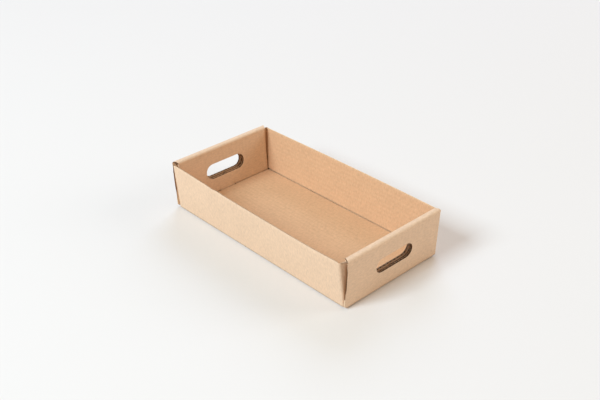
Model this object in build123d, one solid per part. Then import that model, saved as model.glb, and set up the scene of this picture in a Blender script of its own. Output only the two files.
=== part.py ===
from build123d import *
import os
from math import atan2, cos

# A tray box folded from one die-cut sheet of corrugated board, in millimetres, +Z up.
# The origin is the middle of the underside. X runs along the length, Y across it.
# Each side wall ends in two corner flaps. Each end panel rolls over its pair of flaps
# and drops a tab through a slot in the floor, which locks the tray without glue.

# Overall size
length = 402.0  # over the end panels, at the floor
width = 198.0  # over the side walls, at the floor
side_height = 81.0  # top edge of the side walls

# Board and folds
board = 3.6  # thickness of the corrugated board
fold_inside = 0.6  # radius on the inside of a crease
slip = 0.35  # air between two layers that lie face to face

# Spring-back: how far each wall leans out at its top edge
end_lean = 4.9
near_leans = (3.4, 6.6, 8.8, 9.9, 10.8, 9.2)  # -Y wall, at even stations towards +X
far_leans = (6.8, 7.6, 8.1, 8.0, 7.2, 5.7)  # +Y wall

# Rolled-over ends
roll_headroom = 1.4  # air over the side walls' height, inside the roll
foot_kick = 1.3  # how much thicker an end is at its foot than at its top
panel_overhang = 1.3  # outer panel's side edge, beyond the width at the floor
foot_step = 1.0  # how much further out the foot of the outer panel reaches
foot_step_height = 16.5
inner_side_gap = 4.2  # inner panel's side edge to the side wall, at the floor

# Corner cut-outs
corner_straight = 21.0  # stretch of a side wall next to a corner that doesn't bow
wall_relief = 6.0  # end of a side wall's bottom crease, in from the floor's outline
end_relief = 3.0  # end of an end panel's bottom crease, in from the floor's outline
end_relief_height = 2.0
end_relief_top = 5.0

# Corner flaps
flap_drop = 1.5  # flap's top edge, below the side wall's
flap_floor_gap = 1.5
flap_meeting_gap = 6.5  # between the free ends of two flaps
flap_meeting_y = -2.0

# Hand holes
hole_length = 78.0
hole_height = 25.3
hole_bottom = 31.2
back_hole_length = 82.0  # the larger hole through the flaps and the inner panel
back_hole_height = 27.4
back_hole_bottom = 30.2

# Lock
tab_width = 34.0
tab_clearance = 0.8  # slot beyond the tab, all round
tab_end_gap = 0.3  # tab's tip, above the underside
inner_foot_gap = 0.3  # rest of the inner panel, above the floor

# Places that follow from the sizes above
fold_outside = fold_inside + board
end_height = side_height + roll_headroom + board
half_length = length / 2
half_width = width / 2
end_slope = end_lean / end_height
end_board = board / cos(atan2(end_lean, end_height))  # end panel's thickness along X
roll_width = 3 * board + 2 * slip
foot_x = half_length - roll_width - foot_kick  # inner panel's face, at the floor's top
roll_x = half_length + end_lean - roll_width  # the same face, at the top of the roll
crease_start = fold_outside + board / 4  # beyond every bottom crease, from the outline
floor_half_x = half_length - crease_start
floor_half_y = half_width - crease_start
bow_half_x = half_length - corner_straight
corner_x = half_length - 2 * board - fold_outside - 2 * slip
flap_low = board + flap_floor_gap
flap_top = side_height - flap_drop
between_panels = half_length - board - slip / 2  # a plane inside the gap for the flaps
inner_half_y = half_width - board - inner_side_gap
big = length + width  # longer than anything that it has to cut


def strip(face_line):
    """The board's section, left of the line that one of its faces follows."""
    return make_face(offset(face_line, amount=board, side=Side.LEFT))


def block(x_range, y_range, z_range):
    """A box from its lowest and highest place along each axis."""
    ranges = (x_range, y_range, z_range)
    middle = [(low + high) / 2 for low, high in ranges]
    return Pos(*middle) * Box(*[high - low for low, high in ranges])


def wall_section(x, lean):
    """A side wall's section on the -Y side, from its top edge to the floor's edge."""
    face_line = FilletPolyline(
        (-half_width - lean, side_height),
        (-half_width, 0),
        (-floor_half_y, 0),
        radius=fold_outside,
    )
    return Plane.YZ.offset(x) * strip(face_line)


def bowed_wall(leans):
    """A side wall's long middle stretch, which bows from station to station."""
    spans = len(leans) - 1
    stations = [bow_half_x * (2 * i / spans - 1) for i in range(len(leans))]
    return loft([wall_section(x, lean) for x, lean in zip(stations, leans)])


def wall_end(lean):
    """A side wall's straight stretch at the +X end, up to the corner's crease."""
    stop = half_length - wall_relief
    stretch = extrude(wall_section(bow_half_x, lean), stop - bow_half_x, dir=(1, 0, 0))
    return stretch - block((corner_x, big), (-big, big), (flap_low, big))


def corner_section(z, lean, free_end):
    """Plan of the corner's crease and its flap at one height, at -Y and +X."""
    wall_out = -half_width - lean * z / side_height
    wall_in = wall_out + board / cos(atan2(lean, side_height))
    flap_out = half_length - end_board - slip + end_slope * z
    flap_in = flap_out - end_board
    outside = FilletPolyline(
        (corner_x, wall_out), (flap_out, wall_out), (flap_out, free_end), radius=fold_outside
    )
    inside = FilletPolyline(
        (corner_x, wall_in), (flap_in, wall_in), (flap_in, free_end), radius=fold_inside
    )
    ends = [Line(outside @ 0, inside @ 0), Line(outside @ 1, inside @ 1)]
    return Pos(0, 0, z) * make_face([outside, inside, *ends])


def corner(lean, free_end):
    """The crease and the flap at the -Y, +X corner, with the wall's last stretch."""
    levels = (flap_low, flap_top)
    flap = loft([corner_section(z, lean, free_end) for z in levels], ruled=True)
    return wall_end(lean) + (flap - back_hole())


def side_wall(leans, meeting_y):
    """A whole side wall on the -Y side, with its flap at each end."""
    free_end = meeting_y - flap_meeting_gap / 2
    left_end = mirror(corner(leans[0], free_end), about=Plane.YZ)
    return bowed_wall(leans) + corner(leans[-1], free_end) + left_end


def stadium(wide, high, bottom, from_x):
    """A hand hole's cutter, from one place along X outwards through the +X end."""
    outline = Plane.YZ.offset(from_x) * Pos(0, bottom + high / 2) * SlotOverall(wide, high)
    return extrude(outline, big, dir=(1, 0, 0))


def back_hole():
    """The larger hole's cutter, for the flaps and the inner panel."""
    start = foot_x - board
    return stadium(back_hole_length, back_hole_height, back_hole_bottom, start)


def outer_panel_region():
    """Where the outer end panel has board: its outline seen from the end."""
    side = half_width + panel_overhang
    foot = side + foot_step
    crease = half_width - end_relief
    half_outline = [
        (crease, 0),
        (crease, end_relief_height),
        (foot, end_relief_top),
        (foot, foot_step_height),
        (side, foot_step_height + foot_step),
        (side, side_height),
    ]
    other_half = [(-y, z) for y, z in reversed(half_outline)]
    outline = Plane.YZ.offset(between_panels) * Polyline(half_outline + other_half, close=True)
    return extrude(make_face(outline), big, dir=(1, 0, 0))


def roll_region():
    """Where the roll has board: its ends taper from the outer to the inner panel."""
    outer_y = half_width + panel_overhang
    outer_x = half_length + end_lean
    outline = Polyline(
        (outer_x, -outer_y), (outer_x, outer_y), (roll_x, inner_half_y), (roll_x, -inner_half_y),
        close=True,
    )
    return Pos(0, 0, side_height) * extrude(make_face(outline), big)


def inner_panel_region():
    """Where the inner end panel has board, with its tab down through the floor's slot."""
    low_x, high_x = foot_x - board, between_panels
    foot = board + inner_foot_gap
    panel = block((low_x, high_x), (-inner_half_y, inner_half_y), (foot, side_height))
    tab = block((low_x, high_x), (-tab_width / 2, tab_width / 2), (tab_end_gap, foot))
    return panel + tab


def slots():
    """The two slots in the floor that the tabs lock into."""
    x_range = (foot_x - tab_clearance, foot_x + end_board + tab_clearance)
    half = tab_width / 2 + tab_clearance
    slot = block(x_range, (-half, half), (-board, 2 * board))
    return slot + mirror(slot, about=Plane.YZ)


def end_sheet():
    """The +X end before its outline is cut: outer panel, roll, inner panel and tab."""
    tab_tip_x = foot_x - (roll_x - foot_x) * board / (end_height - board)
    face_line = FilletPolyline(
        (floor_half_x, 0),
        (half_length, 0),
        (half_length + end_lean, end_height),
        (roll_x, end_height),
        (tab_tip_x, 0),
        radius=fold_outside,
    )
    return extrude(Plane.XZ * strip(face_line), big, both=True)


def end_panels():
    """The +X end with every outline cut: crease reliefs, tapered roll, tab and holes."""
    sheet = end_sheet()
    outer_panel = sheet & outer_panel_region()
    roll = sheet & roll_region()
    inner_panel = sheet & inner_panel_region()
    outer_hole = stadium(hole_length, hole_height, hole_bottom, between_panels)
    return outer_panel - outer_hole + roll + (inner_panel - back_hole())


def tray():
    """The folded sheet as one solid."""
    floor = block((-floor_half_x, floor_half_x), (-floor_half_y, floor_half_y), (0, board))
    near_wall = side_wall(near_leans, flap_meeting_y)
    far_wall = mirror(side_wall(far_leans, -flap_meeting_y), about=Plane.XZ)
    right_end = end_panels()
    left_end = mirror(right_end, about=Plane.YZ)
    return floor - slots() + near_wall + far_wall + right_end + left_end


os.makedirs("parts", exist_ok=True)
export_step(tray(), "parts/tray.step")
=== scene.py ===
"""A tray box folded from one sheet of corrugated board, laid out as an add-on.

The sheet is cut flat, its three papers are waved and thickened, and then it is folded.
"""
from math import atan2, cos, pi, radians, sin, tan

import bmesh
import bpy
import numpy as np
from mathutils import Matrix, Vector
from mathutils.geometry import delaunay_2d_cdt


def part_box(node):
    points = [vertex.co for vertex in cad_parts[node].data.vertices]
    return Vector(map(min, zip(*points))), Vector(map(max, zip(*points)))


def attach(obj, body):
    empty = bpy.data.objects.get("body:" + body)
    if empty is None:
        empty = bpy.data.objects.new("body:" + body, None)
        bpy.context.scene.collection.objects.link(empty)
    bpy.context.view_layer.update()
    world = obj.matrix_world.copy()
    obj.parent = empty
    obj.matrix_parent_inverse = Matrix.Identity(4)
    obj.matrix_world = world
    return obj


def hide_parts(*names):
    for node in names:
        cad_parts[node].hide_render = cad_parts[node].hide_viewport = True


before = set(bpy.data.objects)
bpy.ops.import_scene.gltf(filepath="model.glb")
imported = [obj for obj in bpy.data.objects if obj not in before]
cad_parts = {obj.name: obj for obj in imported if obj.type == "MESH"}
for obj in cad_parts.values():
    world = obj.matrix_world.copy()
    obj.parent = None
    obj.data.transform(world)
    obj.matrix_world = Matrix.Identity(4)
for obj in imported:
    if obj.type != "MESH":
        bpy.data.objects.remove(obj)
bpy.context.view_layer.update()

bl_info = {
    "name": "Corrugated Tray Box",
    "version": (1, 0, 0),
    "blender": (4, 5, 0),
    "location": "View3D > Sidebar > Tray Box",
    "description": "Builds a folded corrugated tray box with rolled-over ends and hand holes",
    "category": "Add Mesh",
}

MM = 0.001
CAD_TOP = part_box("tray")[1][2]
WELD = 0.01 * MM  # places closer than this are one place
FLOOR, NEAR_WALL, FAR_WALL, FLAPS, ENDS = range(5)  # areas of the sheet


# Settings that a user would change -----------------------------------------------------


def metres(name, description, default):
    """A length in metres."""
    return bpy.props.FloatProperty(
        name=name, description=description, default=default, unit="LENGTH", precision=5
    )


def share(name, description, default):
    """A part of a whole, from 0 to 1."""
    return bpy.props.FloatProperty(
        name=name, description=description, default=default, min=0, max=1, subtype="FACTOR"
    )


def shade(name, description, hex_value):
    """An sRGB colour, kept as linear light."""
    return bpy.props.FloatVectorProperty(
        name=name, description=description, default=linear(hex_value), subtype="COLOR", size=3
    )


def linear(hex_value):
    """Linear red, green and blue of an sRGB hex colour."""
    parts = [int(hex_value[i : i + 2], 16) / 255 for i in (0, 2, 4)]
    return tuple(c / 12.92 if c <= 0.04045 else ((c + 0.055) / 1.055) ** 2.4 for c in parts)


class TrayBoard(bpy.types.PropertyGroup):
    """The corrugated board that the tray is cut from."""

    thickness: metres("Board", "Thickness over both liners", 3.6 * MM)
    liner: metres("Liner", "Thickness of each outer paper", 0.3 * MM)
    medium: metres("Fluting paper", "Thickness of the waved paper", 0.28 * MM)
    pitch: metres("Flute pitch", "From one flute to the next", 7.6 * MM)
    washboard: metres("Washboard", "How far a liner sinks between two flutes", 0.14 * MM)
    crush: share("Crease crush", "How much of the board a crease presses flat", 0.6)
    pinch: share("Pressed cut", "Board left where the die cuts along the flutes", 0.45)


class TraySizes(bpy.types.PropertyGroup):
    """The folded tray."""

    length: metres("Length", "Over the end panels, at the floor", 402 * MM)
    width: metres("Width", "Over the side walls, at the floor", 198 * MM)
    end_height: metres("End height", "Top of the rolled-over ends", CAD_TOP)
    side_height: metres("Side height", "Top edge of the side walls", 81 * MM)
    fold: metres("Fold radius", "Radius on the outside of a crease", 4.2 * MM)
    slip: metres("Slip", "Air between layers that lie face to face", 0.35 * MM)
    end_lean: metres("End lean", "How far an end leans out at its top", 4.9 * MM)
    foot_kick: metres("Foot kick", "Extra thickness of an end at its foot", 1.3 * MM)
    hole_length: metres("Hand hole length", "Hole in the outer end panel", 78 * MM)
    hole_height: metres("Hand hole height", "Hole in the outer end panel", 25.3 * MM)
    hole_bottom: metres("Hand hole bottom", "Above the underside", 31.2 * MM)
    back_length: metres("Back hole length", "Hole in the flaps and inner panel", 82 * MM)
    back_height: metres("Back hole height", "Hole in the flaps and inner panel", 27.4 * MM)
    back_bottom: metres("Back hole bottom", "Above the underside", 30.2 * MM)
    tab_width: metres("Tab width", "Locking tab of the inner end panel", 34 * MM)
    tab_play: metres("Tab play", "Slot beyond the tab", 0.8 * MM)


# How far each side wall leans out at its top, in mm, at even stations towards +X
NEAR_LEANS = (3.4, 6.6, 8.8, 9.9, 10.8, 9.2)
FAR_LEANS = (6.8, 7.6, 8.1, 8.0, 7.2, 5.7)
USUAL_LEAN = 7.5


class TrayLooks(bpy.types.PropertyGroup):
    """Colours of the papers and of the studio floor."""

    outside: shade("Outer liner", "Kraft liner on the outside", "DFC0A3")
    inside: shade("Inner liner", "Kraft liner on the inside", "D9B08A")
    medium: shade("Fluting", "Recycled paper of the flutes", "80583A")
    edge: shade("Cut edge", "Where the die cut the papers", "E6CAAB")
    ground: shade("Studio floor", "Matt pale floor under the tray", "E5E1DE")


# The folded shape ----------------------------------------------------------------------


class Folds:
    """Places, lengths and angles of the folded tray, worked out from its sizes."""

    crease_steps = 6
    groove = 0.8 * MM  # how far a crease's groove reaches beyond its bend
    relief = 3.0 * MM  # end of an end panel's bottom crease, in from the floor's outline
    relief_low, relief_high = 2.0 * MM, 5.0 * MM  # where the panel starts to widen, and its foot
    foot_high, side_low = 16.5 * MM, 17.5 * MM  # where the foot ends, and the side above it starts
    foot_overhang, side_overhang = 1.6 * MM, 1.3 * MM  # outer panel beyond the floor's outline
    inner_foot_gap = 0.9 * MM  # inner panel's foot to the floor
    tab_end_gap = 0.3 * MM  # tab's tip to the underside
    meeting_y, meeting_gap = -2.0 * MM, 6.5 * MM  # where two flaps' free ends meet
    flap_gap, flap_drop = 1.5 * MM, 1.5 * MM  # flap to the floor, and to the wall's top
    inner_side_gap = 0.6 * MM  # inner panel's side edge to the side wall
    corner_foot = 1.2 * MM  # lowest place of a corner's crease
    foot_turn = 1.5  # a side wall's turn at its foot, in radians, near enough for both walls
    corner_straight = 21 * MM  # stretch of a wall next to a corner that doesn't bow
    corner_play = 5.5 * MM  # extra air, at the top, behind the near right corner's crease
    settle = 25 * MM  # length of flap over which that air closes up
    pinch_reach = 2.4 * MM  # how far in from a cut the die presses the board
    closed_seam, near_seam = 0.05 * MM, 0.9 * MM  # between a cut's papers: usual, near wall
    inner_lip = 0.3 * MM  # how much of a pressed cut shows the inner liner
    knock_x, knock_reach = -84 * MM, 9 * MM  # place and half length of the near wall's ripple
    knock_depth, knock_up = 2.2 * MM, 80 * MM  # its size, and the height where that is reached

    def __init__(self, sizes, board):
        self.sizes, self.board = sizes, board.thickness
        self.crush, self.pinch, self.liner = board.crush, board.pinch, board.liner
        self.radius = sizes.fold
        self.crease = (self.radius - self.board / 2) * pi / 2  # its length in the flat sheet
        self.half_x, self.half_y = sizes.length / 2, sizes.width / 2
        self.end_angle = atan2(sizes.end_lean, sizes.end_height)
        self.set_ends()
        self.set_walls()

    def set_ends(self):
        """Straight runs and turns of an end: outer panel, roll and inner panel."""
        sizes, top = self.sizes, self.sizes.end_height
        thick = 3 * self.board + 2 * sizes.slip
        roll_x = self.half_x + sizes.end_lean - thick
        self.foot_x = self.half_x - thick - sizes.foot_kick
        tip_x = self.foot_x - (roll_x - self.foot_x) * self.board / (top - self.board)
        self.inner_angle = atan2(roll_x - tip_x, top)
        self.end_turns = (pi / 2 - self.end_angle, pi / 2 + self.end_angle, pi / 2 - self.inner_angle)
        cuts = [self.radius * tan(turn / 2) for turn in self.end_turns]
        self.floor_x = self.half_x - cuts[0]
        self.end_runs = (
            0.0,
            top / cos(self.end_angle) - cuts[0] - cuts[1],
            self.half_x + sizes.end_lean - roll_x - cuts[1] - cuts[2],
        )
        self.roll_start = self.crease + self.end_runs[1]
        self.roll_end = self.roll_start + 2 * self.crease + self.end_runs[2]
        self.end_tip = self.roll_end + top / cos(self.inner_angle) - cuts[2]

    def set_walls(self):
        """Side walls and the creases of their corner flaps."""
        sizes = self.sizes
        usual_lean = atan2(USUAL_LEAN * MM, sizes.side_height)
        self.floor_y = self.half_y - self.radius * tan((pi / 2 - usual_lean) / 2)
        self.wall_run = sizes.side_height - self.radius
        self.wall_top = self.crease + self.wall_run
        self.foot_line = self.floor_y + self.wall_flat(self.corner_foot, self.foot_turn)
        self.slope = sizes.end_lean / sizes.end_height
        layer = self.board / cos(self.end_angle)
        self.corner_x = self.half_x - layer - sizes.slip - self.radius
        bow = self.half_x - self.corner_straight
        stations = np.linspace(-bow, bow, len(NEAR_LEANS))
        self.leans = {
            side: np.polynomial.Polynomial.fit(stations, np.array(leans) * MM, len(leans) - 1)
            for side, leans in ((-1, NEAR_LEANS), (1, FAR_LEANS))
        }
        self.bow = bow

    def groove_share(self, flat):
        """How deep a crease's groove is at flat, which is 0 where the crease starts."""
        beyond = np.abs(flat - self.crease / 2) - self.crease / 2
        return np.clip(1 - beyond / self.groove, 0, 1)

    def pressed_shut(self, depth, seam):
        """Depths into the board at a cut where the die presses both liners together.

        The seam between their edges lies just under the inner liner's lip."""
        low = self.board * (1 - self.pinch) / 2
        high = self.board - low
        lip = high - self.inner_lip
        papers = (0, self.liner, self.board - self.liner, self.board)
        return np.interp(depth, papers, (low, lip - seam, lip, high))

    def wall_turn(self, x, side):
        """How far a side wall turns up at x, in radians."""
        lean = self.leans[side](np.clip(x, -self.bow, self.bow))
        return pi / 2 - np.arctan2(lean, self.sizes.side_height)

    def wall_flat(self, z, turn):
        """Distance up the flat side wall, from its crease's start, of height z."""
        bend_top = self.radius * (1 - cos(turn))
        run = (self.sizes.side_height - bend_top) / sin(turn)
        return self.crease + (z - bend_top) / sin(turn) * self.wall_run / run

    def outer_flat(self, z):
        """Distance along the flat end, from its crease's start, of height z outside."""
        bend_top = self.radius * (1 - cos(self.end_turns[0]))
        if z < bend_top:
            return self.crease * z / bend_top
        return self.crease + (z - bend_top) / cos(self.end_angle)

    def inner_flat(self, z):
        """The same for height z on the inner panel."""
        bend_top = self.sizes.end_height - self.radius * (1 - cos(self.end_turns[2]))
        return self.roll_end + (bend_top - z) / cos(self.inner_angle)


def crushed(folds, flat, depth):
    """Depths into the board near a crease that starts at flat 0, pressed towards its outside."""
    return depth * (1 - folds.crush * folds.groove_share(flat))


def fold_along(folds, flat, depth, runs, turns):
    """Folds points at flat along a strip and depth into it, as out, up and heading."""
    radius, crease = folds.radius, folds.crease
    out, up, heading = np.zeros((3, len(flat)))
    rest, deep = flat.copy(), depth.copy()
    for run, turn in zip(runs, turns):
        step = np.clip(rest, 0, run)
        out += step * np.cos(heading)
        up += step * np.sin(heading)
        part = np.clip((rest - step) / crease, 0, 1)
        deep = crushed(folds, rest - run, deep)
        after = heading + part * turn
        out += radius * (np.sin(after) - np.sin(heading))
        up += radius * (np.cos(heading) - np.cos(after))
        rest = np.maximum(rest - step - crease, 0)
        heading = after
    out += rest * np.cos(heading) - deep * np.sin(heading)
    up += rest * np.sin(heading) + deep * np.cos(heading)
    return out, up


def wall_shape(folds, x, flat, depth, side):
    """A side wall's points: how far out from the floor's middle line, and how high."""
    turn = folds.wall_turn(x, side)
    bend_top = folds.radius * (1 - np.cos(turn))
    run = (folds.sizes.side_height - bend_top) / np.sin(turn)
    beyond = np.maximum(flat - folds.crease, 0)
    flat = flat + beyond * (run / folds.wall_run - 1)
    out, up = fold_along(folds, flat, depth, (0.0,), (turn,))
    return folds.floor_y + out, up


def flap_span(folds, side, out):
    """A flap from its crease's end to its free end: its length here and by design."""
    free = side * folds.meeting_y + folds.meeting_gap / 2
    design = folds.half_y - folds.radius - free
    return out - folds.radius - free, design


def ripple(folds, x, up):
    """How far out the near wall's top edge moves where it was knocked into a small wave."""
    along = (x - folds.knock_x) / folds.knock_reach
    rise = np.clip(up / folds.knock_up, 0, 1) ** 3
    return -folds.knock_depth * along * np.exp(-along ** 2) * rise


def play_slope(folds, end, side):
    """How fast a corner's crease leans in, away from the outer panel, with height."""
    return folds.corner_play / folds.sizes.side_height if end > 0 > side else 0.0


def fold_wall(folds, points):
    """Stands a side wall up, with its bow and its lean."""
    x, y, depth = points.T
    side = -1 if y[0] < 0 else 1
    out, up = wall_shape(folds, x, np.abs(y) - folds.floor_y, depth, side)
    if side < 0:
        out += ripple(folds, x, up)
    slope = folds.slope - np.where(x > 0, play_slope(folds, 1, side), 0)
    stretch = 1 + slope * up / folds.corner_x
    return np.column_stack((x * stretch, side * out, up))


def fold_flap(folds, points):
    """Stands a corner flap up with its wall and turns it in behind the outer panel."""
    x, y, depth = points.T
    end, side = (-1 if x[0] < 0 else 1), -1 if y[0] < 0 else 1
    corner = np.full(len(x), end * folds.corner_x)
    out, up = wall_shape(folds, corner, np.abs(y) - folds.floor_y, np.zeros(len(x)), side)
    turn = folds.wall_turn(corner, side)
    flat = np.abs(x) - folds.corner_x
    part = np.clip(flat / folds.crease, 0, 1)
    angle = part * pi / 2
    here, design = flap_span(folds, side, out)
    beyond = np.maximum(flat - folds.crease, 0) * here / design
    deep = crushed(folds, flat, depth)
    unsettled = np.clip(1 - beyond / folds.settle, 0, 1)
    corner_x = folds.corner_x + (folds.slope - play_slope(folds, end, side) * unsettled) * up
    lean_x, lean_z = cos(folds.end_angle), sin(folds.end_angle)
    new_x = corner_x + folds.radius * np.sin(angle) - deep * np.sin(angle) * lean_x
    new_out = out - folds.radius * (1 - np.cos(angle)) - beyond
    new_out -= deep * np.cos(angle) * np.sin(turn)
    new_up = up + deep * (np.cos(angle) * np.cos(turn) + np.sin(angle) * lean_z)
    return np.column_stack((end * new_x, side * new_out, new_up))


def fold_end(folds, points):
    """Folds an end up, over its flaps and down to the floor."""
    x, y, depth = points.T
    runs, turns = folds.end_runs, folds.end_turns
    out, up = fold_along(folds, np.abs(x) - folds.floor_x, depth, runs, turns)
    return np.column_stack((np.sign(x) * (folds.floor_x + out), y, up))


# The flat sheet ------------------------------------------------------------------------


def ruled(low, high, step, must=()):
    """Places from low to high: multiples of step, and the ones that must be there."""
    must = [place for place in must if low < place < high] + [low, high]
    steps = np.arange(np.ceil(low / step), np.floor(high / step) + 1) * step
    free = [place for place in steps if min(abs(place - m) for m in must) > step / 3]
    return sorted(set(must + [place for place in free if low < place < high]))


def inside(loop, places):
    """Which places lie inside a closed loop, both as arrays of x and y."""
    x, y = places.T
    hit = np.zeros(len(places), bool)
    for (x0, y0), (x1, y1) in zip(loop, np.roll(loop, -1, axis=0)):
        if y0 != y1:
            crossing = (y0 > y) != (y1 > y)
            hit ^= crossing & (x < (x1 - x0) * (y - y0) / (y1 - y0) + x0)
    return hit


def cut_area(outline, holes, x_lines, y_lines):
    """Flat faces between ruled lines, inside an outline and clear of holes."""
    places, edges = [], []
    for loop in (outline, *holes):
        first, count = len(places), len(loop)
        places += [tuple(p) for p in loop]
        edges += [(first + i, first + (i + 1) % count) for i in range(count)]
    low_x, high_x, low_y, high_y = x_lines[0], x_lines[-1], y_lines[0], y_lines[-1]
    rules = [((x, low_y), (x, high_y)) for x in x_lines]
    rules += [((low_x, y), (high_x, y)) for y in y_lines]
    for start, end in rules:
        edges.append((len(places), len(places) + 1))
        places += [start, end]
    result = delaunay_2d_cdt([Vector(p) for p in places], edges, [], 0, 1e-7, False)
    flat = np.array([tuple(v) for v in result[0]])
    faces = np.array(result[2])
    middles = flat[faces].mean(axis=1)
    keep = inside(np.array(outline), middles)
    for hole in holes:
        keep &= ~inside(np.array(hole), middles)
    return flat, faces[keep]


def stadium(length, height, bottom, steps=12):
    """A hole's outline with round ends, across the middle of an end."""
    radius, reach, middle = height / 2, (length - height) / 2, bottom + height / 2
    half_turn = np.linspace(-pi / 2, pi / 2, steps + 1)
    right = [(reach + radius * cos(a), middle + radius * sin(a)) for a in half_turn]
    return right + [(-y, 2 * middle - z) for y, z in right]


def main_hole(sizes):
    """The hand hole in an outer panel, as y and z."""
    return stadium(sizes.hole_length, sizes.hole_height, sizes.hole_bottom)


def back_hole(sizes):
    """The larger hole through the flaps and an inner panel, as y and z."""
    return stadium(sizes.back_length, sizes.back_height, sizes.back_bottom)


def end_outline(folds):
    """Half of an end's outline, as distance from its first crease and width from the middle."""
    relief = folds.half_y - folds.relief
    foot, side = folds.half_y + folds.foot_overhang, folds.half_y + folds.side_overhang
    inner = folds.half_y - folds.board - folds.inner_side_gap
    inner_foot = folds.inner_flat(folds.board + folds.inner_foot_gap)
    tab = folds.sizes.tab_width / 2
    return [
        (0.0, relief),
        (folds.outer_flat(folds.relief_low), relief),
        (folds.outer_flat(folds.relief_high), foot),
        (folds.outer_flat(folds.foot_high), foot),
        (folds.outer_flat(folds.side_low), side),
        (folds.roll_start, side),
        (folds.roll_end, inner),
        (inner_foot, inner),
        (inner_foot, tab),
        (folds.end_tip - folds.tab_end_gap, tab),
    ]


def crease_lines(folds, *starts):
    """Lines across each crease, with one at the foot of its groove on either side."""
    bend = np.linspace(0, folds.crease, folds.crease_steps + 1)
    steps = [-folds.groove, *bend, folds.crease + folds.groove]
    return [start + step for start in starts for step in steps]


def cross_lines(folds, step):
    """Lines along X that the floor and both ends share, close together at each cut."""
    marks = {width for _, width in end_outline(folds)}
    limit = max(marks)
    marks = sorted(marks | {width - folds.pinch_reach / 3 for width in marks})
    return ruled(-limit, limit, step, marks + [-mark for mark in marks])


def floor_area(folds, long_step, cross_step):
    """The floor, with its two lock slots."""
    x, y = folds.floor_x, folds.floor_y
    x_lines = ruled(-x, x, long_step, [-folds.corner_x, folds.corner_x])
    groove = y - folds.groove
    clear = groove - 10 * WELD
    y_lines = [line for line in cross_lines(folds, cross_step) if abs(line) < clear]
    y_lines = [-y, -groove, *y_lines, groove, y]
    slots = []
    play = folds.sizes.tab_play
    half = folds.sizes.tab_width / 2 + play
    near, far = folds.foot_x - play, folds.foot_x + folds.board / cos(folds.end_angle) + play
    for end in (-1, 1):
        low, high = end * near, end * far
        slots.append([(low, -half), (high, -half), (high, half), (low, half)])
    outline = [(-x, -y), (x, -y), (x, y), (-x, y)]
    return cut_area(outline, slots, x_lines, y_lines)


def wall_lines(folds, side, step):
    """Lines along X up a wall, with the two between which its flaps are cut."""
    turn = float(folds.wall_turn(folds.corner_x, side))
    low = folds.floor_y + folds.wall_flat(folds.board + folds.flap_gap, turn)
    high = folds.floor_y + folds.wall_flat(folds.sizes.side_height - folds.flap_drop, turn)
    top = folds.floor_y + folds.wall_top
    pressed = folds.pinch_reach / 3
    must = crease_lines(folds, folds.floor_y) + [folds.foot_line, low, low + pressed, high]
    lines = ruled(folds.floor_y, top, step, must + [top - pressed])
    return lines, low, high


def wall_area(folds, side, long_step, cross_step):
    """A side wall, in the positive half of the sheet."""
    y_lines, _, _ = wall_lines(folds, side, cross_step)
    x, low, high = folds.corner_x, y_lines[0], y_lines[-1]
    x_lines = ruled(-x, x, long_step, [folds.groove - x, x - folds.groove])
    return cut_area([(-x, low), (x, low), (x, high), (-x, high)], [], x_lines, y_lines)


def flap_area(folds, end, side, long_step, cross_step):
    """A corner flap with its notch for the hand hole, in the positive quarter.

    Its crease is as tall as the wall, and the flap beyond it is cut lower and clears the floor."""
    y_lines, low, high = wall_lines(folds, side, cross_step)
    foot, top = folds.foot_line, y_lines[-1]
    y_lines = [line for line in y_lines if foot <= line]
    start = folds.corner_x
    turn = folds.wall_turn(end * start, side)
    _, design = flap_span(folds, side, 0)
    stop = start + folds.crease + design
    step_x = start + folds.crease + folds.groove
    x_lines = ruled(start, stop, long_step, crease_lines(folds, start))
    hole = []
    for y, z in back_hole(folds.sizes):
        flat = folds.wall_flat(z, turn)
        corner = np.array([end * start])
        out, _ = wall_shape(folds, corner, np.array([flat]), np.zeros(1), side)
        here, _ = flap_span(folds, side, out[0])
        beyond = (out[0] - folds.radius - side * y) / here * design
        hole.append((start + folds.crease + beyond, folds.floor_y + flat))
    outline = [
        (start, foot), (step_x, foot), (step_x, low), (stop, low),
        (stop, high), (step_x, high), (step_x, top), (start, top),
    ]
    return cut_area(outline, [hole], x_lines, y_lines)


def end_area(folds, long_step, cross_step):
    """The +X end of the sheet, with both hand holes."""
    half = end_outline(folds)
    outline = [(folds.floor_x + s, y) for s, y in half]
    outline += [(folds.floor_x + s, -y) for s, y in reversed(half)]
    second_crease = folds.roll_start + folds.crease + folds.end_runs[2]
    creases = crease_lines(folds, 0.0, folds.roll_start, second_crease)
    must = [folds.floor_x + s for s in creases + [s for s, _ in half]]
    tip = folds.floor_x + folds.end_tip - folds.tab_end_gap
    x_lines = ruled(folds.floor_x, tip, long_step, must)
    main = [(folds.floor_x + folds.outer_flat(z), y) for y, z in main_hole(folds.sizes)]
    back = [(folds.floor_x + folds.inner_flat(z), y) for y, z in back_hole(folds.sizes)]
    return cut_area(outline, [main, back], x_lines, cross_lines(folds, cross_step))


def sheet_areas(folds, long_step, cross_step):
    """Every area of the flat sheet, as its name, its places and its faces."""
    places, faces = floor_area(folds, long_step, cross_step)
    areas = [(FLOOR, places, faces)]
    places, faces = end_area(folds, long_step, cross_step)
    areas += [(ENDS, places * (end, 1), faces) for end in (-1, 1)]
    for side, wall in ((-1, NEAR_WALL), (1, FAR_WALL)):
        places, faces = wall_area(folds, side, long_step, cross_step)
        areas.append((wall, places * (1, side), faces))
        for end in (-1, 1):
            places, faces = flap_area(folds, end, side, long_step, cross_step)
            areas.append((FLAPS, places * (end, side), faces))
    return areas


def facing_up(places, faces):
    """The same faces, each turned to run anticlockwise."""
    a, b, c = (places[faces[:, i]] for i in range(3))
    turned = np.cross(b - a, c - a) < 0
    faces = faces.copy()
    faces[turned] = faces[turned][:, ::-1]
    return faces


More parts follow.
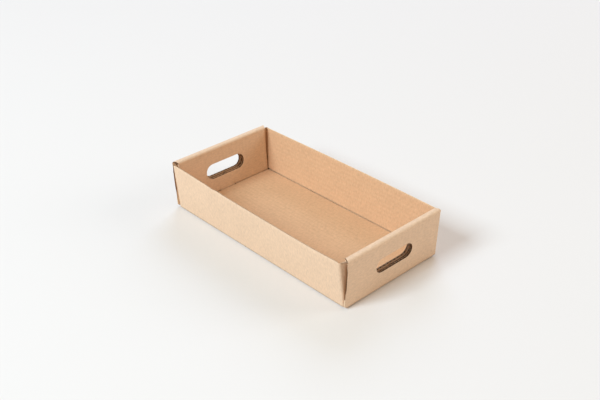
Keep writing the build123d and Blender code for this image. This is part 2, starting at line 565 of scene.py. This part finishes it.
def mark_pinch(cells, folds):
    """Gives each point its nearness to a cut that runs along the flutes, from 0 to 1."""
    cuts = {}
    low = folds.floor_y + 20 * MM  # above every flap's bottom cut, below its hand hole
    high = folds.floor_y + 70 * MM  # above the hand hole, below the top cuts
    same_height = 0.05 * MM
    for edge in cells.edges:
        (ax, ay, _), (bx, by, _) = edge.verts[0].co, edge.verts[1].co
        if low < abs(ay) < high:
            continue  # a flap's hand hole, where the cut stays open
        if edge.is_boundary and abs(ay - by) < WELD:
            cuts.setdefault(round(ay / same_height), []).append((min(ax, bx), max(ax, bx), ay))
    points = np.array([v.co for v in cells.verts])
    near = np.zeros(len(points))
    for runs in cuts.values():
        starts, stops, heights = np.array(sorted(runs)).T
        last = np.searchsorted(starts, points[:, 0] + WELD) - 1
        on_cut = (last >= 0) & (points[:, 0] < stops[np.maximum(last, 0)] + WELD)
        away = np.abs(points[:, 1] - heights[0]) / folds.pinch_reach
        near = np.maximum(near, on_cut * np.clip(1 - away, 0, 1))
    layer = cells.verts.layers.float.new("pinch")
    for vertex, value in zip(cells.verts, near):
        vertex[layer] = value


def flat_sheet(name, folds, long_step, cross_step):
    """The uncut areas welded into one flat die-cut sheet, as an object."""
    places, faces, names, count = [], [], [], 0
    for area, area_places, area_faces in sheet_areas(folds, long_step, cross_step):
        faces.append(facing_up(area_places, area_faces) + count)
        places.append(area_places)
        names += [area] * len(area_places)
        count += len(area_places)
    places = np.concatenate(places)
    mesh = bpy.data.meshes.new(name)
    flat = np.column_stack((places, np.zeros(count)))
    mesh.from_pydata(flat.tolist(), [], np.concatenate(faces).tolist())
    mesh.attributes.new("area", "INT", "POINT").data.foreach_set("value", names)
    cells = bmesh.new()
    cells.from_mesh(mesh)
    bmesh.ops.remove_doubles(cells, verts=cells.verts, dist=WELD)
    bmesh.ops.delete(cells, geom=[v for v in cells.verts if not v.link_faces], context="VERTS")
    bmesh.ops.join_triangles(
        cells, faces=cells.faces, angle_face_threshold=0.1, angle_shape_threshold=0.3
    )
    mark_pinch(cells, folds)
    cells.to_mesh(mesh)
    cells.free()
    sheet = bpy.data.objects.new(name, mesh)
    bpy.context.collection.objects.link(sheet)
    return sheet


# Nodes ---------------------------------------------------------------------------------


def add(tree, kind, inputs=None, **settings):
    """Adds a node with its settings; an input gets a link from a socket, or a value."""
    node = tree.nodes.new(kind)
    for name, value in settings.items():
        setattr(node, name, value)
    for name, value in (inputs or {}).items():
        for item in value if isinstance(value, list) else [value]:
            if isinstance(item, bpy.types.NodeSocket):
                tree.links.new(item, node.inputs[name])
            else:
                node.inputs[name].default_value = item
    return node


def paper_layer_tree():
    """Waves a flat sheet along X like fluting and gives it a paper's thickness."""
    tree = bpy.data.node_groups.new("Paper Layer", "GeometryNodeTree")
    sockets = (
        ("Sheet", "INPUT", "NodeSocketGeometry"),
        ("Flute Pitch", "INPUT", "NodeSocketFloat"),
        ("Wave Height", "INPUT", "NodeSocketFloat"),
        ("Depth", "INPUT", "NodeSocketFloat"),
        ("Paper Thickness", "INPUT", "NodeSocketFloat"),
        ("Paper", "INPUT", "NodeSocketMaterial"),
        ("Cut Edge", "INPUT", "NodeSocketMaterial"),
        ("Layer", "OUTPUT", "NodeSocketGeometry"),
    )
    for name, way, kind in sockets:
        tree.interface.new_socket(name=name, in_out=way, socket_type=kind)
    given = add(tree, "NodeGroupInput").outputs
    place = add(tree, "GeometryNodeInputPosition")
    split = add(tree, "ShaderNodeSeparateXYZ", {0: place.outputs[0]})
    flutes = add(
        tree, "ShaderNodeMath", {0: split.outputs["Y"], 1: given["Flute Pitch"]}, operation="DIVIDE",
    )
    turns = add(tree, "ShaderNodeMath", {0: flutes.outputs[0], 1: 2 * pi}, operation="MULTIPLY")
    wave = add(tree, "ShaderNodeMath", {0: turns.outputs[0]}, operation="SINE")
    half = add(tree, "ShaderNodeMath", {0: given["Wave Height"], 1: 0.5}, operation="MULTIPLY")
    lift = add(
        tree, "ShaderNodeMath", {0: wave.outputs[0], 1: half.outputs[0], 2: given["Depth"]},
        operation="MULTIPLY_ADD",
    )
    offset = add(tree, "ShaderNodeCombineXYZ", {"Z": lift.outputs[0]})
    waved = add(
        tree, "GeometryNodeSetPosition", {"Geometry": given["Sheet"], "Offset": offset.outputs[0]}
    )
    thick = add(
        tree, "GeometryNodeExtrudeMesh",
        {
            "Mesh": waved.outputs[0], "Offset": (0, 0, 1), "Offset Scale": given["Paper Thickness"],
            "Individual": False,
        },
        mode="FACES",
    )
    under = add(tree, "GeometryNodeFlipFaces", {"Mesh": waved.outputs[0]})
    both = add(
        tree, "GeometryNodeJoinGeometry", {"Geometry": [under.outputs[0], thick.outputs["Mesh"]]}
    )
    closed = add(
        tree, "GeometryNodeMergeByDistance", {"Geometry": both.outputs[0], "Distance": WELD / 10}
    )
    real = add(tree, "GeometryNodeRealizeInstances", {"Geometry": closed.outputs[0]})
    faced = add(
        tree, "GeometryNodeSetMaterial", {"Geometry": real.outputs[0], "Material": given["Paper"]}
    )
    edged = add(
        tree, "GeometryNodeSetMaterial",
        {
            "Geometry": faced.outputs[0], "Selection": thick.outputs["Side"],
            "Material": given["Cut Edge"],
        },
    )
    add(tree, "NodeGroupOutput", {"Layer": edged.outputs[0]})
    return tree


def run_tree(thing, tree, values):
    """The plain mesh that a geometry tree makes of an object; values go in by input name."""
    modifier = thing.modifiers.new(tree.name, "NODES")
    modifier.node_group = tree
    for item in tree.interface.items_tree:
        if item.item_type == "SOCKET" and item.name in values:
            modifier[item.identifier] = values[item.name]
    evaluated = thing.evaluated_get(bpy.context.evaluated_depsgraph_get())
    mesh = bpy.data.meshes.new_from_object(evaluated)
    thing.modifiers.clear()
    return mesh


def crease_marks(folds, flat, area):
    """How near each point is to a crease at the floor's edge, from 0 to 1."""
    x, y = np.abs(flat[:, 0]), np.abs(flat[:, 1])
    sides = np.where((area == ENDS) | (area == FLAPS), 0, folds.groove_share(y - folds.floor_y))
    walls = (area == NEAR_WALL) | (area == FAR_WALL)
    ends = np.where(walls | (area == FLAPS), 0, folds.groove_share(x - folds.floor_x))
    return np.maximum(sides, ends)


def fold_mesh(mesh, folds):
    """Moves a flat layer's points to their folded places, and keeps the flat ones as UVs."""
    count = len(mesh.vertices)
    flat = np.empty(count * 3)
    mesh.vertices.foreach_get("co", flat)
    flat = flat.reshape(-1, 3)
    area, near = np.empty(count, int), np.empty(count)
    mesh.attributes["area"].data.foreach_get("value", area)
    mesh.attributes["pinch"].data.foreach_get("value", near)
    depth = flat[:, 2]
    parted = folds.pressed_shut(depth, folds.near_seam)
    shut = np.where(area == NEAR_WALL, parted, folds.pressed_shut(depth, folds.closed_seam))
    flat[:, 2] += (shut - depth) * near ** 2
    pressed = mesh.attributes.new("pressed", "FLOAT", "POINT")
    pressed.data.foreach_set("value", crease_marks(folds, flat, area))
    corners = np.empty(len(mesh.loops), int)
    mesh.loops.foreach_get("vertex_index", corners)
    uv = mesh.uv_layers.new(name="sheet")
    uv.data.foreach_set("uv", flat[corners, :2].ravel())
    folded = flat.copy()
    for name, rule in ((NEAR_WALL, fold_wall), (FAR_WALL, fold_wall), (ENDS, fold_end)):
        chosen = area == name
        folded[chosen] = rule(folds, flat[chosen])
    for end in (-1, 1):
        for side in (-1, 1):
            chosen = (area == FLAPS) & (flat[:, 0] * end > 0) & (flat[:, 1] * side > 0)
            folded[chosen] = fold_flap(folds, flat[chosen])
    mesh.vertices.foreach_set("co", folded.ravel())
    mesh.update()


# Materials -----------------------------------------------------------------------------


def toned(tree, sheet, colour, grains, mark, lift):
    """A colour that grows lighter and darker with noise, and the finest noise itself.

    Each grain is its size along and across the flutes, in mm, and its share of the colour.
    Where the mesh's attribute called mark is 1, the colour changes by the share called lift."""
    tone = None
    for along, across, share in grains:
        scale = (1 / (along * MM), 1 / (across * MM), 1)
        grid = add(tree, "ShaderNodeMapping", {"Vector": sheet, "Scale": scale})
        noise = add(
            tree, "ShaderNodeTexNoise", {"Vector": grid.outputs[0], "Scale": 1.0, "Detail": 3.0}
        )
        start = 1 - share / 2 if tone is None else -share / 2
        scaled = add(
            tree, "ShaderNodeMath", {0: noise.outputs[0], 1: share, 2: start},
            operation="MULTIPLY_ADD",
        )
        if tone is not None:
            scaled = add(tree, "ShaderNodeMath", {0: tone, 1: scaled.outputs[0]}, operation="ADD")
        tone = scaled.outputs[0]
    marked = add(tree, "ShaderNodeAttribute", attribute_name=mark).outputs["Fac"]
    lifted = add(tree, "ShaderNodeMath", {0: marked, 1: lift, 2: tone}, operation="MULTIPLY_ADD")
    shaded = add(
        tree, "ShaderNodeVectorMath", {0: tuple(colour), "Scale": lifted.outputs[0]},
        operation="SCALE",
    )
    return shaded.outputs[0], noise.outputs[0]


def paper(name, colour, grains, roughness, relief, mark, lift):
    """An uncoated paper: matt, with a fine grain that also raises it a little."""
    material = bpy.data.materials.new(name)
    material.use_nodes = True
    tree = material.node_tree
    tree.nodes.clear()
    sheet = add(tree, "ShaderNodeUVMap", uv_map="sheet").outputs[0]
    tone, grain = toned(tree, sheet, colour, grains, mark, lift)
    bump = add(tree, "ShaderNodeBump", {"Height": grain, "Strength": 0.5, "Distance": relief})
    shader = add(
        tree, "ShaderNodeBsdfPrincipled",
        {
            "Base Color": tone, "Roughness": roughness, "IOR": 1.5, "Specular IOR Level": 0.25,
            "Normal": bump.outputs[0],
        },
    )
    add(tree, "ShaderNodeOutputMaterial", {"Surface": shader.outputs[0]})
    return material


# Clouds of pulp, flocks, and fibres that lie across the flutes. A kraft fibre is about 0.04 mm
# by 3 mm, so the finest grain is drawn much coarser than that, or it wouldn't show.
LINER_GRAINS = ((45, 60, 0.12), (4, 9, 0.24), (1.8, 5, 0.36))
# Stains and specks of recycled pulp. Specks are about 0.2 mm, and are drawn coarser to show.
FLUTING_GRAINS = ((12, 12, 0.15), (0.8, 0.8, 0.25))


def kraft_liner(name, colour):
    """Unbleached kraft liner: a matt, warm brown paper with cloudy pulp, darker in its creases."""
    return paper(name, colour, LINER_GRAINS, 0.82, 0.05 * MM, "pressed", -0.22)


def cut_edge(name, colour):
    """Torn fibres of a cut: dark where the flutes stay open, pale where the die shuts them."""
    open_share = 0.3
    dark = tuple(open_share * channel for channel in colour)
    return paper(name, dark, FLUTING_GRAINS, 0.92, 0.08 * MM, "pinch", 2.3)


def fluting_paper(name, colour):
    """Recycled medium: a dark, dull paper, rougher than the liner and speckled."""
    return paper(name, colour, FLUTING_GRAINS, 0.92, 0.08 * MM, "pressed", -0.2)


def matt_sweep(name, colour):
    """Paper background roll: an even, matt off-white with hardly any sheen."""
    material = bpy.data.materials.new(name)
    material.use_nodes = True
    shader = material.node_tree.nodes["Principled BSDF"]
    shader.inputs["Base Color"].default_value = (*colour, 1)
    shader.inputs["Roughness"].default_value = 0.9
    shader.inputs["Specular IOR Level"].default_value = 0.1
    return material


# Pieces --------------------------------------------------------------------------------


SHARP_ANGLE = 55  # degrees, past which an edge is drawn sharp


def make_layer(scene, name, face, wave, depth, thickness, cross_step):
    """One of the board's three papers, folded, as a piece that stands for the CAD tray.

    Face is its material. Wave is the height of its flutes, about a middle at depth."""
    board = scene.tray_board
    folds = Folds(scene.tray_sizes, board)
    long_step = 8 * MM
    sheet = flat_sheet(name, folds, long_step, cross_step)
    edge = bpy.data.materials.get("die_cut_edge") or cut_edge("die_cut_edge", scene.tray_looks.edge)
    sheet.data.materials.append(face)
    values = {
        "Flute Pitch": board.pitch, "Wave Height": wave, "Depth": depth,
        "Paper Thickness": thickness, "Paper": face, "Cut Edge": edge,
    }
    mesh = run_tree(sheet, paper_layer_tree(), values)
    flat = sheet.data
    sheet.data = mesh
    bpy.data.meshes.remove(flat)
    mesh.name = name
    fold_mesh(mesh, folds)
    mesh.shade_smooth()
    mesh.set_sharp_from_angle(angle=radians(SHARP_ANGLE))
    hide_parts("tray")
    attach(sheet, "root")


class TRAYBOX_OT_outer_liner(bpy.types.Operator):
    """Adds the outer liner, the paper on the outside of the tray"""

    bl_idname = "traybox.outer_liner"
    bl_label = "Outer Liner"

    def execute(self, context):
        scene = context.scene
        board = scene.tray_board
        face = kraft_liner("kraft_liner_outside", scene.tray_looks.outside)
        dip = board.washboard
        make_layer(scene, "outer_liner", face, dip, dip / 2, board.liner, board.pitch / 6)
        return {"FINISHED"}


class TRAYBOX_OT_inner_liner(bpy.types.Operator):
    """Adds the inner liner, the paper on the inside of the tray"""

    bl_idname = "traybox.inner_liner"
    bl_label = "Inner Liner"

    def execute(self, context):
        scene = context.scene
        board = scene.tray_board
        face = kraft_liner("kraft_liner_inside", scene.tray_looks.inside)
        dip = board.washboard
        depth = board.thickness - board.liner - dip / 2
        make_layer(scene, "inner_liner", face, dip, depth, board.liner, board.pitch / 6)
        return {"FINISHED"}


class TRAYBOX_OT_fluting(bpy.types.Operator):
    """Adds the fluting, the waved paper between the two liners"""

    bl_idname = "traybox.fluting"
    bl_label = "Fluting"

    def execute(self, context):
        scene = context.scene
        board = scene.tray_board
        face = fluting_paper("fluting_medium", scene.tray_looks.medium)
        wave = board.thickness - 2 * board.liner - board.medium
        depth = (board.thickness - board.medium) / 2
        make_layer(scene, "fluting", face, wave, depth, board.medium, board.pitch / 8)
        return {"FINISHED"}


# Stage ---------------------------------------------------------------------------------


def aim(thing, place, target):
    """Places a light so that it faces a target."""
    thing.location = place
    thing.rotation_euler = (Vector(target) - Vector(place)).to_track_quat("-Z", "Y").to_euler()


def add_softbox(name, place, size, power, colour):
    """A square light that faces the tray: its place and size in metres, its power in watts."""
    light = bpy.data.lights.new(name, "AREA")
    light.shape, light.size, light.energy, light.color = "SQUARE", size, power, colour
    thing = bpy.data.objects.new(name, light)
    bpy.context.collection.objects.link(thing)
    aim(thing, place, (0, 0, 0.04))


def add_camera():
    """A long lens that looks down on the tray's near right corner."""
    azimuth, elevation, roll = radians(47.640), radians(30.628), radians(-1.056)
    target = Vector((-70.1, 64.0, 0)) * MM
    back = Vector((sin(azimuth) * cos(elevation), -cos(azimuth) * cos(elevation), sin(elevation)))
    level = (-back).cross(Vector((0, 0, 1))).normalized()
    raised = level.cross(-back)
    right = level * cos(roll) + raised * sin(roll)
    up = raised * cos(roll) - level * sin(roll)
    camera = bpy.data.objects.new("camera", bpy.data.cameras.new("camera"))
    camera.data.lens, camera.data.sensor_width = 52.723, 36.0
    turn = Matrix((right, up, back)).transposed()
    distance = 1.5196
    camera.matrix_world = Matrix.Translation(target + back * distance) @ turn.to_4x4()
    bpy.context.collection.objects.link(camera)
    bpy.context.scene.camera = camera


class TRAYBOX_OT_stage(bpy.types.Operator):
    """Adds the pale floor, the soft lights and the camera"""

    bl_idname = "traybox.stage"
    bl_label = "Studio Stage"

    def execute(self, context):
        scene = context.scene
        reach = 12.0  # metres, past the edge of the picture
        mesh = bpy.data.meshes.new("studio_floor")
        corners = [(-reach, -reach, 0), (reach, -reach, 0), (reach, reach, 0), (-reach, reach, 0)]
        mesh.from_pydata(corners, [], [(0, 1, 2, 3)])
        mesh.materials.append(matt_sweep("matt_sweep", scene.tray_looks.ground))
        ground = bpy.data.objects.new("studio_floor", mesh)
        context.collection.objects.link(ground)
        add_softbox("key_softbox", (-0.8, -4.8, 4.2), 2.4, 392, (0.69, 0.85, 0.97))
        add_softbox("back_softbox", (-3.6, 4.5, 3.6), 3.6, 212, (0.55, 0.72, 1.0))
        add_softbox("side_softbox", (3.6, 4.5, 2.6), 3.0, 98, (1.0, 1.0, 1.0))
        world = bpy.data.worlds.new("studio_air")
        scene.world = world
        world.use_nodes = True
        air = world.node_tree.nodes["Background"]
        air.inputs["Color"].default_value = (0.96, 0.80, 0.60, 1)
        air.inputs["Strength"].default_value = 0.56
        scene.view_settings.view_transform = "Standard"
        add_camera()
        return {"FINISHED"}


# The add-on ----------------------------------------------------------------------------


class TRAYBOX_PT_panel(bpy.types.Panel):
    """Lists the tray's settings and its pieces"""

    bl_idname = "TRAYBOX_PT_panel"
    bl_label = "Tray Box"
    bl_space_type = "VIEW_3D"
    bl_region_type = "UI"
    bl_category = "Tray Box"

    def draw(self, context):
        layout = self.layout
        for group in GROUPS.values():
            settings = getattr(context.scene, group)
            for name in settings.__annotations__:
                layout.prop(settings, name)
        for operator in OPERATORS:
            layout.operator(operator.bl_idname)


GROUPS = {TrayBoard: "tray_board", TraySizes: "tray_sizes", TrayLooks: "tray_looks"}
OPERATORS = (
    TRAYBOX_OT_outer_liner, TRAYBOX_OT_fluting, TRAYBOX_OT_inner_liner, TRAYBOX_OT_stage,
)


def register():
    for group, name in GROUPS.items():
        bpy.utils.register_class(group)
        setattr(bpy.types.Scene, name, bpy.props.PointerProperty(type=group))
    for cls in (*OPERATORS, TRAYBOX_PT_panel):
        bpy.utils.register_class(cls)


def unregister():
    for cls in (TRAYBOX_PT_panel, *reversed(OPERATORS)):
        bpy.utils.unregister_class(cls)
    for group, name in reversed(GROUPS.items()):
        delattr(bpy.types.Scene, name)
        bpy.utils.unregister_class(group)


def main():
    """Builds every piece and the stage."""
    register()
    bpy.ops.traybox.outer_liner()
    bpy.ops.traybox.fluting()
    bpy.ops.traybox.inner_liner()
    bpy.ops.traybox.stage()
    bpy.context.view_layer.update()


if __name__ == "__main__":
    main()
